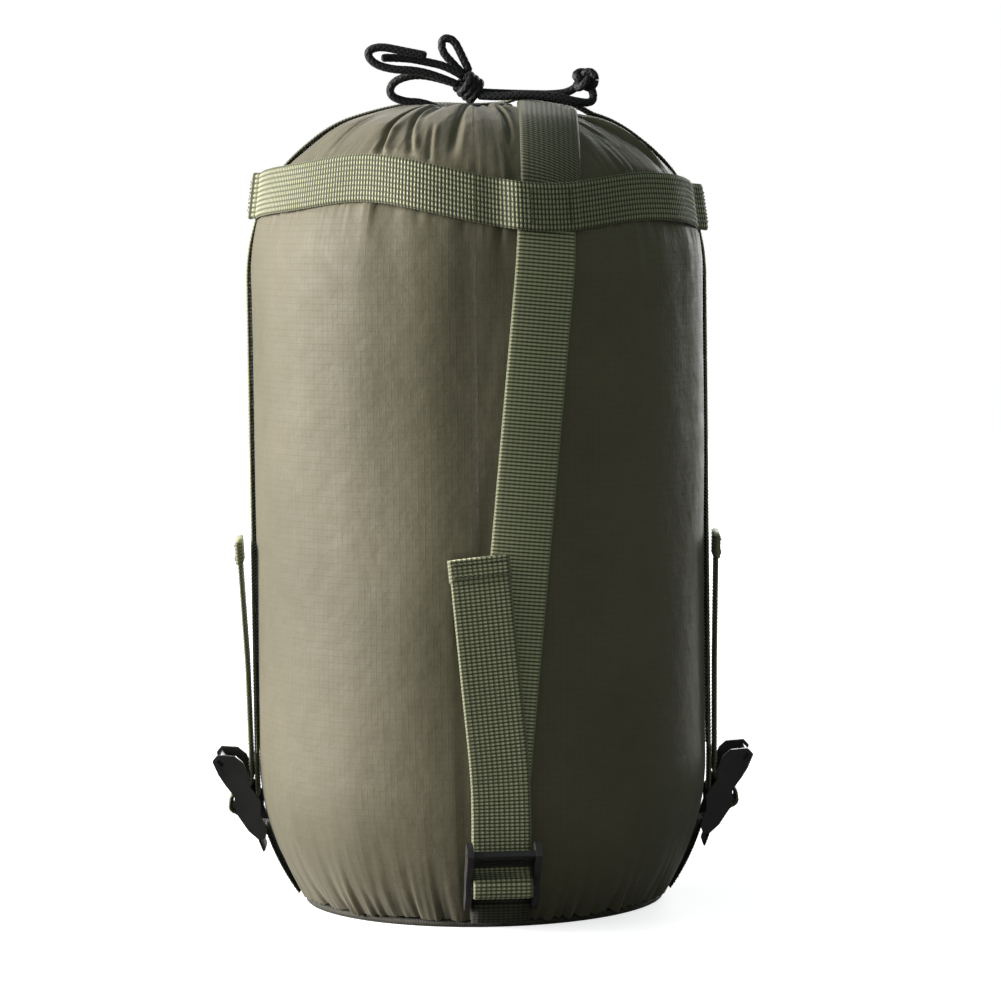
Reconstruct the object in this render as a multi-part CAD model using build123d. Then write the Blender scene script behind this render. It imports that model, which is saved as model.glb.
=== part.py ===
from build123d import *
import os
from math import asin, atan2, cos, degrees, hypot, radians, sin, sqrt, tan

# Compression sack: a stuffed drawstring bag inside a webbing harness that a ladder-lock
# buckle tightens on each of its four sides. Millimetres, +Z up. The origin is the centre of
# the round base, where the sack stands on the floor. The front is -Y and +X is to the right.

os.makedirs("parts", exist_ok=True)

# ------------------------------------------------------------------ driving dimensions
BODY_R = 99.0                  # outside radius of the stuffed tube
SKIN = 0.8                     # bag fabric with its coating and seam allowance
LOAD_GAP = 0.3                 # fabric to what is packed inside
CORNER_Z = 62.0                # height where the rounded bottom meets the straight wall
CORNER_R = 98.4                # radius of the rounded bottom
SHOULDER_Z = 273.0             # height where the straight wall starts to curve in
# the dome above the wall: one arc after another, each (radius, angle where it ends)
DOME_ARCS = [(84.0, 50.0), (46.0, 72.0), (155.0, 80.0), (14.0, 132.0)]
SPLIT_Z = 305.0                # wall above this belongs to the lid end and moves with it
LOAD_TOP_Z = 343.0

BASE_R = 76.5                  # bottom panel
BASE_T = 1.0
BINDING_T = 2.4                # taped seam round the base
BINDING_H = 3.0
SEAM_Z = 3.3                   # lower edge of the wall, above the binding

WEB_W = 25.0                   # strap webbing
WEB_T = 1.5
WEB_GAP = 0.3                  # webbing to the surface under it
BAND_W = 20.0                  # ring band round the shoulder
BAND_Z = 300.0                 # its lower edge
BAND_R_LOW, BAND_R_HIGH = 97.5, 96.3
STRAP_CUT_Z = 304.0            # harness above this moves with the lid end
STRAP_MID_Z = 140.0            # load strap below this never shortens
EXIT_Z = 66.0                  # where strap and tail leave the buckle
CROSS_X, CROSS_Y = 31.5, 9.0   # where the two straps cross on the dome

BAR_R = 1.3                    # buckle bars
MIDDLE_BAR_R = 2.2
TAB_BAR_R = 1.6
RAIL_T = 2.6
RAIL_IN = 12.9                 # half the clear width between the buckle's rails
TAIL_TOP_Z = 160.0
HEM_H, HEM_T, HEM_W = 9.0, 3.2, 26.4

CASING_R, CASING_TUBE_R, CASING_Z = 15.5, 3.2, 347.0
CORD_D = 3.6
CORD_HOLE_R = 2.1

# Four sides of the harness. azimuth turns from the front towards +X. strap_t and tail_t say how
# far the load strap (at the band) and the tail (at its hem) stand off the buckle's line, along
# the tangent. bar_z is the height of the buckle's fixed bar, and tilt leans the buckle outward.
# stand is how far the tail's top stands off its strap.
SIDES = {
    "front": {"azimuth": 4.2, "strap_t": 24.0, "tail_t": -8.5, "bar_z": 12.0, "tilt": 14.0,
              "stand": 3.9},
    "right": {"azimuth": 90.0, "strap_t": 9.0, "tail_t": -5.0, "bar_z": 31.0, "tilt": -3.0,
              "stand": 1.2},
    "back": {"azimuth": 175.8, "strap_t": -24.0, "tail_t": 8.5, "bar_z": 12.0, "tilt": 14.0,
             "stand": 3.9},
    "left": {"azimuth": 270.0, "strap_t": -9.0, "tail_t": 5.0, "bar_z": 31.0, "tilt": -3.0,
             "stand": 3.0},
}

# ------------------------------------------------------------------ the bag's profile
CORNER_C = (BODY_R - CORNER_R, CORNER_Z)


def polar(centre, radius, angle):
    """Point at an angle in degrees on a circle of the r-z half plane."""
    return (centre[0] + radius * cos(radians(angle)), centre[1] + radius * sin(radians(angle)))


def dome_arcs():
    """(centre, radius, first angle, last angle) of each arc of the dome, tangent in turn."""
    arcs, angle = [], 0.0
    radius = DOME_ARCS[0][0]
    centre = (BODY_R - radius, SHOULDER_Z)
    for next_radius, end in DOME_ARCS:
        centre = polar(centre, radius - next_radius, angle)
        arcs.append((centre, next_radius, angle, end))
        radius, angle = next_radius, end
    return arcs


def corner_angle(z, inward=0.0):
    return degrees(asin((z - CORNER_Z) / (CORNER_R - inward)))


def wall_line(inward, low_z, arcs):
    """The bag's outline from low_z up to the end of arcs, moved inward by a distance."""
    low = corner_angle(low_z, inward)
    radius = CORNER_R - inward
    edges = [ThreePointArc(*(polar(CORNER_C, radius, a) for a in (low, low / 2, 0)))]
    edges.append(Line((BODY_R - inward, CORNER_Z), (BODY_R - inward, SHOULDER_Z)))
    for centre, arc_r, first, last in arcs:
        edges.append(ThreePointArc(*(polar(centre, arc_r - inward, a)
                                     for a in (first, (first + last) / 2, last))))
    return edges


def turned(edges):
    """Solid of revolution about Z from edges drawn in the r-z half plane."""
    return revolve(Plane.XZ * make_face(edges), Axis.Z, 360)


def shell(outer, inner, low_z, arcs):
    """Skin between two offsets of the bag's outline (negative is outside the fabric)."""
    out_line, in_line = wall_line(outer, low_z, arcs), wall_line(inner, low_z, arcs)
    ends = [Line(out_line[0] @ 0, in_line[0] @ 0), Line(out_line[-1] @ 1, in_line[-1] @ 1)]
    return turned(out_line + in_line + ends)


def layer(low, high, size=400.0):
    """Block that keeps what lies between two heights."""
    return Pos(0, 0, (low + high) / 2) * Box(size, size, high - low)


ARCS = dome_arcs()
# straps run straight over the mouth: the flat arc of the dome, carried on to the axis
CROWN = ARCS[:2] + [ARCS[2][:3] + (89.0,)]

# ------------------------------------------------------------------ bag
nodes = {}
fabric = shell(0.0, SKIN, SEAM_Z, ARCS)
nodes["side_wall"] = fabric & layer(SEAM_Z, SPLIT_Z)
nodes["top_collar"] = fabric & layer(SPLIT_Z + 0.3, 400)

nodes["bottom_panel"] = Pos(0, 0, BASE_T / 2) * Cylinder(BASE_R, BASE_T)
binding_r = BASE_R + 0.3
nodes["bottom_binding"] = (Pos(0, 0, BINDING_H / 2) * Cylinder(binding_r + BINDING_T, BINDING_H)
                           - Pos(0, 0, BINDING_H / 2) * Cylinder(binding_r, BINDING_H))


def packed_load():
    inward = SKIN + LOAD_GAP
    floor_z = BASE_T + 0.3
    wall = wall_line(inward, BINDING_H + 1.6, ARCS[:3])
    first, last = wall[0] @ 0, wall[-1] @ 1
    flat_r = BASE_R - 2.5
    rest = [Line((0, floor_z), (flat_r, floor_z)), Line((flat_r, floor_z), first),
            Line(last, (CASING_R + 5, LOAD_TOP_Z)), Line((CASING_R + 5, LOAD_TOP_Z), (0, LOAD_TOP_Z)),
            Line((0, LOAD_TOP_Z), (0, floor_z))]
    return turned(wall + rest)


nodes["packed_load"] = packed_load()

mouth = Pos(0, 0, CASING_Z)
nodes["drawcord_casing"] = (mouth * Torus(CASING_R, CASING_TUBE_R)
                            - mouth * Torus(CASING_R, CORD_HOLE_R))
nodes["drawcord_in_casing"] = mouth * Torus(CASING_R, CORD_D / 2)

# ------------------------------------------------------------------ harness over the dome
band_top = BAND_Z + BAND_W
nodes["ring_band"] = turned(Polyline((BAND_R_LOW, BAND_Z), (BAND_R_LOW + WEB_T, BAND_Z),
                                     (BAND_R_HIGH + WEB_T, band_top), (BAND_R_HIGH, band_top),
                                     close=True).edges())


def over_dome(outer, inner):
    """Closed crown shell that the cross straps are cut from."""
    out_line, in_line = wall_line(outer, SEAM_Z, CROWN), wall_line(inner, SEAM_Z, CROWN)
    top_out, top_in = out_line[-1] @ 1, in_line[-1] @ 1
    rest = [Line(out_line[0] @ 0, in_line[0] @ 0), Line(top_out, (0, top_out.Y)),
            Line((0, top_out.Y), (0, top_in.Y)), Line((0, top_in.Y), top_in)]
    return turned(out_line + in_line + rest) & layer(STRAP_CUT_Z, 400)


under = (-WEB_GAP - WEB_T, -WEB_GAP)
over = (under[0] - WEB_GAP - WEB_T, under[0] - WEB_GAP)
nodes["cross_strap_front_back"] = over_dome(*under) & Pos(CROSS_X, 0, 300) * Box(WEB_W, 400, 300)
nodes["cross_strap_left_right"] = over_dome(*over) & Pos(0, CROSS_Y, 300) * Box(400, WEB_W, 300)

# ------------------------------------------------------------------ the four sides
strap_skin = shell(under[0], under[1], SEAM_Z, CROWN)
BAR_OFF = WEB_GAP + WEB_T + WEB_GAP + BAR_R       # fabric to the centre of the fixed bar
LOOP_R = BAR_R + WEB_GAP + WEB_T / 2              # anchor webbing round the fixed bar
STRAP_R = BODY_R + WEB_GAP + WEB_T / 2
TAIL_R = STRAP_R + WEB_T + 0.7


def placed(side, solid):
    """Turn a solid drawn with X outward and Y along the tangent to its side of the sack."""
    return Rot(0, 0, side["azimuth"] - 90) * solid


def bar_centre(side):
    """(r, z) of a buckle's fixed bar, just off the rounded bottom."""
    off = CORNER_R + BAR_OFF
    return (CORNER_C[0] + sqrt(off ** 2 - (CORNER_Z - side["bar_z"]) ** 2), side["bar_z"])


def leaned(point, side):
    """Turn a point of the buckle outward about its fixed bar, and place it in r and z."""
    angle, (bar_r, bar_z) = radians(side["tilt"]), bar_centre(side)
    return (bar_r + point[0] * cos(angle) + point[1] * sin(angle),
            bar_z - point[0] * sin(angle) + point[1] * cos(angle))


def ribbon(edges, width, thickness):
    """Sweep a flat section along a path drawn in the r-z half plane."""
    path = Plane.XZ * Wire(edges)
    section = Plane(origin=path @ 0, x_dir=(0, 1, 0), z_dir=path % 0) * Rectangle(width, thickness)
    return sweep(section, path=path)


def load_strap(side, low, high):
    """Load strap on the wall, slanting from the buckle's line to strap_t at the band."""
    rise = STRAP_CUT_Z - EXIT_Z
    slant = degrees(atan2(side["strap_t"], rise))
    slab = Pos(BODY_R, 0, EXIT_Z) * Rot(-slant, 0, 0) * Box(80, WEB_W, 4 * rise)
    return strap_skin & placed(side, slab & Pos(BODY_R, 0, 0) * layer(low, high, 150))


# Buckle seen from the side, from the fixed bar at 0, 0: outward, then up.
RAIL_OUTLINE = [(-1.6, -2.2), (1.6, -2.4), (5.8, 1.0), (11.5, 8.6), (12.6, 16.0), (16.8, 21.0),
                (20.0, 25.5), (22.8, 31.2), (20.6, 34.0), (12.8, 33.8), (9.4, 31.2), (6.4, 25.4),
                (6.2, 21.0), (1.0, 14.6), (0.9, 8.4), (-2.4, 1.0)]
MIDDLE_BAR = (11.0, 12.0)
TAB_BAR = (11.0, 23.6)
TAB_TIP = (20.6, 31.8)
TAB_T = 2.4
WRAP_ROUTE = [(2.8, 14.0), (7.6, 6.6), (14.9, 9.3), (14.2, 16.4), (7.0, 17.2), (5.4, 25.0)]
WRAP_RADII = [20.0, 6.0, 2.8, 2.8, 2.6, 2.2, 6.0, 20.0]
STRAP_GUIDE = (STRAP_R - 0.3, 50.0)               # strap still on the wall, above the buckle
TAIL_GUIDE = (TAIL_R - 0.05, 60.0)                # tail turned upright, in front of the strap


def ladder_lock(side):
    """Moulded buckle: two rails, fixed bar, middle bar, tab bar and a slotted thumb tab."""
    rail_line = FilletPolyline(*RAIL_OUTLINE, radius=0.9, close=True)
    rail = extrude(Plane.XZ * make_face(rail_line), RAIL_T / 2, both=True)
    rail -= Pos(19.2, 0, 30.6) * Rot(0, -40, 0) * Box(3.2, 2 * RAIL_T, 1.6)
    lock = Pos(0, RAIL_IN + RAIL_T / 2, 0) * rail + Pos(0, -RAIL_IN - RAIL_T / 2, 0) * rail
    for (out, up), radius in (((0, 0), BAR_R), (MIDDLE_BAR, MIDDLE_BAR_R), (TAB_BAR, TAB_BAR_R)):
        lock += Pos(out, 0, up) * Rot(90, 0, 0) * Cylinder(radius, 2 * RAIL_IN + 1)
    run, rise = TAB_TIP[0] - TAB_BAR[0], TAB_TIP[1] - TAB_BAR[1]
    length, pitch = hypot(run, rise), degrees(atan2(rise, run))
    plate = Box(length, 2 * RAIL_IN + 1, TAB_T) - Pos(-0.6, 0, 0) * Box(3.0, 20, 2 * TAB_T)
    middle = ((TAB_BAR[0] + TAB_TIP[0]) / 2, (TAB_BAR[1] + TAB_TIP[1]) / 2)
    lock += Pos(middle[0], 0, middle[1]) * Rot(0, -pitch, 0) * plate
    bar_r, bar_z = bar_centre(side)
    return placed(side, Pos(bar_r, 0, bar_z) * Rot(0, side["tilt"], 0) * lock)


def buckle_wrap(side):
    """Webbing inside the buckle: in behind the tab, round the middle bar, out under the tab."""
    inside = [leaned(point, side) for point in WRAP_ROUTE]
    route = [(STRAP_R, EXIT_Z), STRAP_GUIDE] + inside + [TAIL_GUIDE, (TAIL_R, EXIT_Z)]
    path = FilletPolyline(*route, radius=WRAP_RADII)
    return placed(side, ribbon(path.edges(), WEB_W, WEB_T))


def anchor_loop(side):
    """Webbing from the base seam up the rounded bottom and round the fixed bar."""
    bar = bar_centre(side)
    inner_r = CORNER_R + WEB_GAP + WEB_T / 2
    outer_r = inner_r + 2 * LOOP_R
    low, high = corner_angle(SEAM_Z + 1.5), degrees(asin((bar[1] - CORNER_Z) / (inner_r + LOOP_R)))
    back = high - 4.5
    edges = [ThreePointArc(*(polar(CORNER_C, inner_r, a) for a in (low, (low + high) / 2, high))),
             ThreePointArc(*(polar(bar, LOOP_R, high + a) for a in (180, 90, 0))),
             ThreePointArc(*(polar(CORNER_C, outer_r, a) for a in (high, (high + back) / 2, back)))]
    return placed(side, ribbon(edges, WEB_W, WEB_T))


def tail_line(side):
    """Points of a tail in r and z, from the buckle to the hem, standing off the strap."""
    start = (TAIL_R, EXIT_Z + 1.6)
    middle = (TAIL_R + side["stand"] / 4, EXIT_Z + 40.0)
    return [start, middle, (TAIL_R + side["stand"], TAIL_TOP_Z - HEM_H)]


def leaning_tail(side, solid):
    """Lean a tail along the tangent about the point where it leaves the buckle."""
    lean = degrees(atan2(side["tail_t"], TAIL_TOP_Z - EXIT_Z))
    return placed(side, Pos(0, 0, EXIT_Z) * Rot(-lean, 0, 0) * Pos(0, 0, -EXIT_Z) * solid)


def tail(side):
    path = FilletPolyline(*tail_line(side), radius=300)
    return leaning_tail(side, ribbon(path.edges(), WEB_W, WEB_T))


def tail_hem(side):
    before, end = tail_line(side)[-2:]
    step = Vector(end[0] - before[0], end[1] - before[1]).normalized()
    first, last = Vector(*end) + step * 0.3, Vector(*end) + step * (HEM_H + 0.3)
    return leaning_tail(side, ribbon([Line(first, last)], HEM_W, HEM_T))


for name, side in SIDES.items():
    nodes[f"{name}_strap_upper"] = load_strap(side, STRAP_MID_Z + 0.3, STRAP_CUT_Z - 0.3)
    nodes[f"{name}_strap_lower"] = load_strap(side, EXIT_Z + 0.5, STRAP_MID_Z)
    nodes[f"{name}_buckle"] = ladder_lock(side)
    nodes[f"{name}_buckle_wrap"] = buckle_wrap(side)
    nodes[f"{name}_anchor_loop"] = anchor_loop(side)
    nodes[f"{name}_tail"] = tail(side)
    nodes[f"{name}_tail_hem"] = tail_hem(side)

# ------------------------------------------------------------------ drawcord and knots
KNOT = (-1.8, -12.5, 359.5)
END_KNOT = (48.2, -12.5, 362.0)
CORD_ROUTES = {
    "cord_mouth_strand": [(-15.5, -6.5, 350.6), (-22.0, -6.2, 353.4), (-30.0, -6.4, 353.6),
                          (-36.6, -7.2, 356.4), (-35.6, -8.0, 362.0), (-27.5, -9.2, 365.2),
                          (-18.0, -9.8, 364.6), (-8.0, -10.6, 361.2)],
    "cord_folded_end": [(-6.5, -15.2, 360.4), (-15.0, -15.8, 364.2), (-25.0, -16.2, 367.0),
                        (-35.0, -16.4, 367.4), (-43.2, -16.2, 370.0), (-46.2, -16.0, 375.2),
                        (-40.6, -16.2, 377.6), (-30.5, -16.6, 375.4), (-20.0, -16.8, 373.2)],
    "cord_short_end": [(-4.2, -13.6, 364.0), (-11.0, -13.4, 368.4), (-20.0, -13.0, 370.6),
                       (-30.0, -12.9, 372.6), (-39.8, -12.6, 372.6)],
    "cord_small_loop": [(-3.4, -9.6, 364.0), (-8.6, -9.2, 369.6), (-13.6, -9.0, 375.2),
                        (-13.4, -9.0, 381.0), (-8.4, -9.0, 380.4), (-5.2, -9.2, 374.0),
                        (-1.6, -10.4, 366.0)],
    "cord_upper_right": [(2.6, -12.0, 357.2), (12.0, -11.4, 356.6), (23.0, -11.4, 356.2),
                         (34.0, -12.0, 355.8), (42.4, -12.4, 356.8), (46.0, -12.6, 360.2)],
    "cord_lower_right": [(1.6, -15.2, 355.8), (11.0, -17.2, 354.9), (22.5, -18.2, 356.2),
                         (34.0, -19.0, 355.2), (43.6, -18.8, 352.7), (50.6, -17.0, 351.6),
                         (52.4, -14.2, 355.4), (50.2, -12.8, 359.8)],
}


def cord(name, points):
    """Round cord: straight runs joined by arcs as large as the runs allow."""
    points = [Vector(*p) for p in points]
    runs = [b - a for a, b in zip(points, points[1:])]
    radii = []
    for before, after in zip(runs, runs[1:]):
        turn = radians(before.get_angle(after))
        radii.append(0.45 * min(before.length, after.length) / tan(turn / 2))
    path = FilletPolyline(*points, radius=radii)
    section = Plane(origin=path @ 0, z_dir=path % 0) * Circle(CORD_D / 2)
    tube = sweep(section, path=path.wire())
    expected = path.wire().length * section.area
    print(name, "length", round(path.wire().length, 1), "volume ratio",
          round(tube.volume / expected, 4), "radii", [round(r, 1) for r in radii])
    return tube


def knot(centre, ring_r, tube_r, turns):
    """Overhand knot as a ball of cord: rings turned about the centre round a core."""
    body = Sphere(ring_r)
    for tilt, yaw in turns:
        body += Rot(tilt, 0, yaw) * Torus(ring_r, tube_r)
    return Pos(*centre) * body


nodes["bow_knot"] = knot(KNOT, 5.4, 1.8, [(90, 0), (55, 70), (40, -60)])
nodes["end_knot"] = knot(END_KNOT, 4.7, 1.7, [(80, 15), (50, 100), (15, 0)])
for name, points in CORD_ROUTES.items():
    nodes[name] = cord(name, points)

for node, shape in nodes.items():
    export_step(shape, f"parts/{node}.step")
print(len(nodes), "nodes")
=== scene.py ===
"""Compression sack: an olive ripstop drawstring bag in a webbing harness with four ladder locks.

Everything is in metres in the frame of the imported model: +Z up, the front is -Y, the origin is
the centre of the base. Azimuth turns from the front towards +X.
"""
from bisect import bisect_left
from math import asin, atan2, cos, degrees, exp, hypot, pi, radians, sin, sqrt, tan
from random import Random

import bpy
from mathutils import Matrix, Vector, noise


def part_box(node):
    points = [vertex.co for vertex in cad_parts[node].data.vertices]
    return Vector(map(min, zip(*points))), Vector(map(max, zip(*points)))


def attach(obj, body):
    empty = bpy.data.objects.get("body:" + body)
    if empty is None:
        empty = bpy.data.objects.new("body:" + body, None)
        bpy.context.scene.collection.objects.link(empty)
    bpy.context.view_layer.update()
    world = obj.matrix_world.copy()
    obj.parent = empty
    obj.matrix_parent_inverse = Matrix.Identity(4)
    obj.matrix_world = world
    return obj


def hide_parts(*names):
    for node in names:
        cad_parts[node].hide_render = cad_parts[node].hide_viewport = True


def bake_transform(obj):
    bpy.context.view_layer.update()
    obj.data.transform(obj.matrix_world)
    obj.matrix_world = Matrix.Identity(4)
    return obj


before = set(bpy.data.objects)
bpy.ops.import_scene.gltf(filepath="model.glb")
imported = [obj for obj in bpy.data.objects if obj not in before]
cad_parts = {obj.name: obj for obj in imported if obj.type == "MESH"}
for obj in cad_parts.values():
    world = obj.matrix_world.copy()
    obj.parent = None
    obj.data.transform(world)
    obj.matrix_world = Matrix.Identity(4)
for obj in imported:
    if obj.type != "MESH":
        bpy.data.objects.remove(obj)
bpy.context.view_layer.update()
MM = 0.001

# ------------------------------------------------------------------ driving dimensions
wall_low, wall_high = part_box("side_wall")
BODY_R = wall_high.x                     # outside radius of the stuffed tube
SEAM_Z = wall_low.z                      # lower edge of the wall
CORNER_R, CORNER_Z = 98.4 * MM, 62 * MM  # the rounded bottom
SHOULDER_Z = 273 * MM                    # the wall starts to curve in
DOME_ARCS = [(84 * MM, 50), (46 * MM, 72), (155 * MM, 80), (14 * MM, 132)]

WEB_W, WEB_T, WEB_GAP = 25 * MM, 1.5 * MM, 0.3 * MM
band_low, band_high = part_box("ring_band")
BAND_Z, BAND_W = band_low.z, band_high.z - band_low.z
BAND_R = 98.2 * MM                       # for its length
STRAP_LIFT = WEB_GAP + WEB_T / 2         # fabric to the centre of a strap that lies on it
STRAP_R = BODY_R + STRAP_LIFT
TAIL_R = STRAP_R + WEB_T + 0.7 * MM
STRAP_CUT_Z = 304 * MM
STRAP_MID_Z = 140 * MM
EXIT_Z = 66 * MM
CROSS_X, CROSS_Y = 31.5 * MM, 9 * MM
TAIL_TOP_Z, HEM_H = 160 * MM, 9 * MM

RIB, COLUMN = 1.56 * MM, 2.1 * MM        # the webbing's ribs and the columns that cross them
CORD_D = 3.6 * MM
DOME_DROP = 3.5 * MM                     # the stuffed dome settles this far under its solid
CASING_R, CASING_Z = 15.5 * MM, 347 * MM - DOME_DROP

# strap_t and tail_t: how far the strap (at the band) and the tail (at its hem) stand off the
# buckle's line. bar_z and tilt place the buckle's fixed bar and lean the buckle outward.
SIDES = {
    "front": {"azimuth": 4.2, "strap_t": 24 * MM, "tail_t": -8.5 * MM, "bar_z": 12 * MM, "tilt": 14,
             "stand": 3.9 * MM},
    "right": {"azimuth": 90, "strap_t": 9 * MM, "tail_t": -5 * MM, "bar_z": 31 * MM, "tilt": -3,
             "stand": 1.2 * MM},
    "back": {"azimuth": 175.8, "strap_t": -24 * MM, "tail_t": 8.5 * MM, "bar_z": 12 * MM, "tilt": 14,
            "stand": 3.9 * MM},
    "left": {"azimuth": 270, "strap_t": -9 * MM, "tail_t": 5 * MM, "bar_z": 31 * MM, "tilt": -3,
            "stand": 3.0 * MM},
}


def smooth(x):
    """0 below 0, 1 above 1, and an even slope between."""
    x = min(1.0, max(0.0, x))
    return x * x * (3 - 2 * x)


def mesh_piece(name, verts, faces, material, uvs=None):
    """Mesh object from vertices, faces and one (u, v) in millimetres for each vertex."""
    data = bpy.data.meshes.new(name)
    data.from_pydata(verts, [], faces)
    data.materials.append(material)
    if uvs:
        layer = data.uv_layers.new(name="cloth")
        flat = [value for loop in data.loops for value in uvs[loop.vertex_index]]
        layer.data.foreach_set("uv", flat)
    data.polygons.foreach_set("use_smooth", [True] * len(data.polygons))
    piece = bpy.data.objects.new(name, data)
    bpy.context.scene.collection.objects.link(piece)
    return piece


# ------------------------------------------------------------------ camera
def camera():
    """Long lens in front of the sack and a little above its middle."""
    data = bpy.data.cameras.new("camera")
    data.lens = 146
    data.clip_start = 0.05
    cam = bpy.data.objects.new("camera", data)
    bpy.context.scene.collection.objects.link(cam)
    place, target = Vector((0, -1.78, 0.32)), Vector((0, 0, 0.17))
    look = (target - place).to_track_quat("-Z", "Y").to_matrix().to_4x4()
    cam.matrix_world = Matrix.Translation(place) @ look @ Matrix.Rotation(radians(-0.8), 4, "Z")
    data.shift_x, data.shift_y = 0.021, 0.012
    bpy.context.scene.camera = cam


camera()


# ------------------------------------------------------------------ materials
class Material:
    """Principled material with short calls for the nodes that it is wired from."""

    def __init__(self, name, **settings):
        self.data = bpy.data.materials.new(name)
        self.data.use_nodes = True
        self.nodes, self.links = self.data.node_tree.nodes, self.data.node_tree.links
        self.shader = self.nodes["Principled BSDF"]
        for socket, value in settings.items():
            self.shader.inputs[socket.replace("_", " ")].default_value = value

    def node(self, kind, inputs=(), **options):
        made = self.nodes.new("ShaderNode" + kind)
        for key, value in options.items():
            setattr(made, key, value)
        for key, value in dict(inputs).items():
            if isinstance(value, bpy.types.NodeSocket):
                self.links.new(value, made.inputs[key])
            else:
                made.inputs[key].default_value = value
        return made

    def math(self, operation, a, b=0.0, c=0.0):
        return self.node("Math", {0: a, 1: b, 2: c}, operation=operation).outputs[0]

    def uv(self):
        """(whole vector, along u, along v) of the cloth's own coordinates, in millimetres."""
        vector = self.node("UVMap", uv_map="cloth").outputs[0]
        parts = self.node("SeparateXYZ", {0: vector})
        return vector, parts.outputs[0], parts.outputs[1]

    def place(self):
        """Object coordinates in millimetres."""
        coords = self.node("TexCoord").outputs["Object"]
        return self.node("VectorMath", {0: coords, "Scale": 1000.0}, operation="SCALE").outputs[0]

    def noise(self, vector, size, detail=2.0, stretch=(1, 1, 1)):
        """Noise with features about size millimetres across, 0 to 1."""
        scale = [s / size for s in stretch]
        scaled = self.node("VectorMath", {0: vector, 1: scale}, operation="MULTIPLY").outputs[0]
        return self.node("TexNoise", {"Vector": scaled, "Scale": 1.0, "Detail": detail}).outputs[0]

    def span(self, value, low, high, to_low=0.0, to_high=1.0):
        """value from low..high to to_low..to_high, clamped."""
        inputs = {"Value": value, "From Min": low, "From Max": high,
                  "To Min": to_low, "To Max": to_high}
        return self.node("MapRange", inputs).outputs[0]

    def mix(self, factor, a, b):
        made = self.node("Mix", data_type="RGBA")
        for socket, value in ((0, factor), (6, a), (7, b)):
            if isinstance(value, bpy.types.NodeSocket):
                self.links.new(value, made.inputs[socket])
            else:
                made.inputs[socket].default_value = value
        return made.outputs[2]

    def finish(self, colour, roughness, height, depth):
        """Link colour, roughness and a bump whose full height is depth metres."""
        self.links.new(colour, self.shader.inputs["Base Color"])
        self.links.new(roughness, self.shader.inputs["Roughness"])
        bump = self.node("Bump", {"Height": height, "Distance": depth})
        self.links.new(bump.outputs[0], self.shader.inputs["Normal"])
        return self.data


def ripstop():
    """Coated ripstop nylon: a fine grid of heavier yarns in a soft, slightly crinkled cloth."""
    m = Material("ripstop", Sheen_Weight=0.2, Sheen_Roughness=0.5, Specular_IOR_Level=0.3)
    vector, u, v = m.uv()
    grid_u = m.span(m.math("PINGPONG", u, 1.4), 0.0, 0.28, 1.0, 0.0)
    grid_v = m.span(m.math("PINGPONG", v, 1.4), 0.0, 0.28, 1.0, 0.0)
    grid = m.math("MAXIMUM", grid_u, grid_v)
    yarn = m.noise(vector, 0.5, 1.0)
    crinkle = m.noise(vector, 9.0, 4.0)
    patches = m.noise(vector, 55.0, 3.0)
    base = m.mix(m.span(patches, 0.3, 0.7), (0.108, 0.102, 0.061, 1), (0.137, 0.127, 0.079, 1))
    base = m.mix(m.span(crinkle, 0.35, 0.75, 0.0, 0.25), base, (0.165, 0.153, 0.102, 1))
    colour = m.mix(m.math("MULTIPLY", grid, 0.2), base, (0.07, 0.066, 0.04, 1))
    roughness = m.math("ADD", m.span(crinkle, 0.3, 0.7, 0.56, 0.68), m.math("MULTIPLY", grid, 0.06))
    height = m.math("MULTIPLY_ADD", grid, 0.05, m.math("MULTIPLY", yarn, 0.05))
    height = m.math("ADD", height, m.math("MULTIPLY", crinkle, 0.9))
    return m.finish(colour, roughness, height, 0.6 * MM)


def webbing_cloth(name, light, dark, gap, tone=1.0):
    """Woven webbing: ribs across it, broken by columns along it, with painted shade in the gaps between them,
    which are gap as bright.
    """
    # tone scales both colours: above 1 it is painted light, below 1 painted shade, on one strap's copy of the
    # webbing
    light, dark = ((*(value * tone for value in colour), 1) for colour in (light, dark))
    m = Material(name, Sheen_Weight=0.15, Sheen_Roughness=0.5, Specular_IOR_Level=0.4)
    vector, u, v = m.uv()
    column = m.math("COSINE", m.math("MULTIPLY", v, 2 * pi * MM / COLUMN))
    rib = m.math("COSINE", m.math("MULTIPLY", u, 2 * pi * MM / RIB))
    dots = m.math("MULTIPLY", m.span(rib, -1, 1), m.span(column, -1, 0.6, gap, 1.0))
    fuzz = m.noise(vector, 0.6, 2.0, stretch=(1, 0.25, 1))
    soil = m.noise(vector, 40.0, 3.0)
    height = m.math("MULTIPLY_ADD", fuzz, 0.3, dots)
    # painted shade: the dark colour fills the hollows between the raised dots of the weave
    thread = m.mix(m.span(m.math("ADD", dots, m.math("MULTIPLY", fuzz, 0.2)), 0.2, 0.75), dark, light)
    colour = m.mix(m.span(soil, 0.4, 0.8, 0.0, 0.22), thread, dark)
    selvedge = m.span(m.math("ABSOLUTE", v), 11.6, 12.2)
    colour = m.mix(selvedge, colour, m.mix(0.3, dark, light))
    return m.finish(colour, m.span(dots, 0, 1, 0.75, 0.5), height, 0.25 * MM)


def plastic():
    """Moulded black acetal: fine spark-eroded grain, dusty and rubbed paler on its edges."""
    m = Material("plastic", Specular_IOR_Level=0.5)
    vector = m.place()
    grain = m.noise(vector, 0.35, 2.0)
    dust = m.noise(vector, 7.0, 4.0)
    edge = m.span(m.node("NewGeometry").outputs["Pointiness"], 0.52, 0.62)
    base = m.mix(m.span(dust, 0.45, 0.75), (0.008, 0.0085, 0.010, 1), (0.017, 0.0175, 0.020, 1))
    colour = m.mix(m.math("MULTIPLY", edge, 0.5), base, (0.045, 0.045, 0.047, 1))
    return m.finish(colour, m.span(dust, 0.3, 0.7, 0.34, 0.5), grain, 0.04 * MM)


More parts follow.
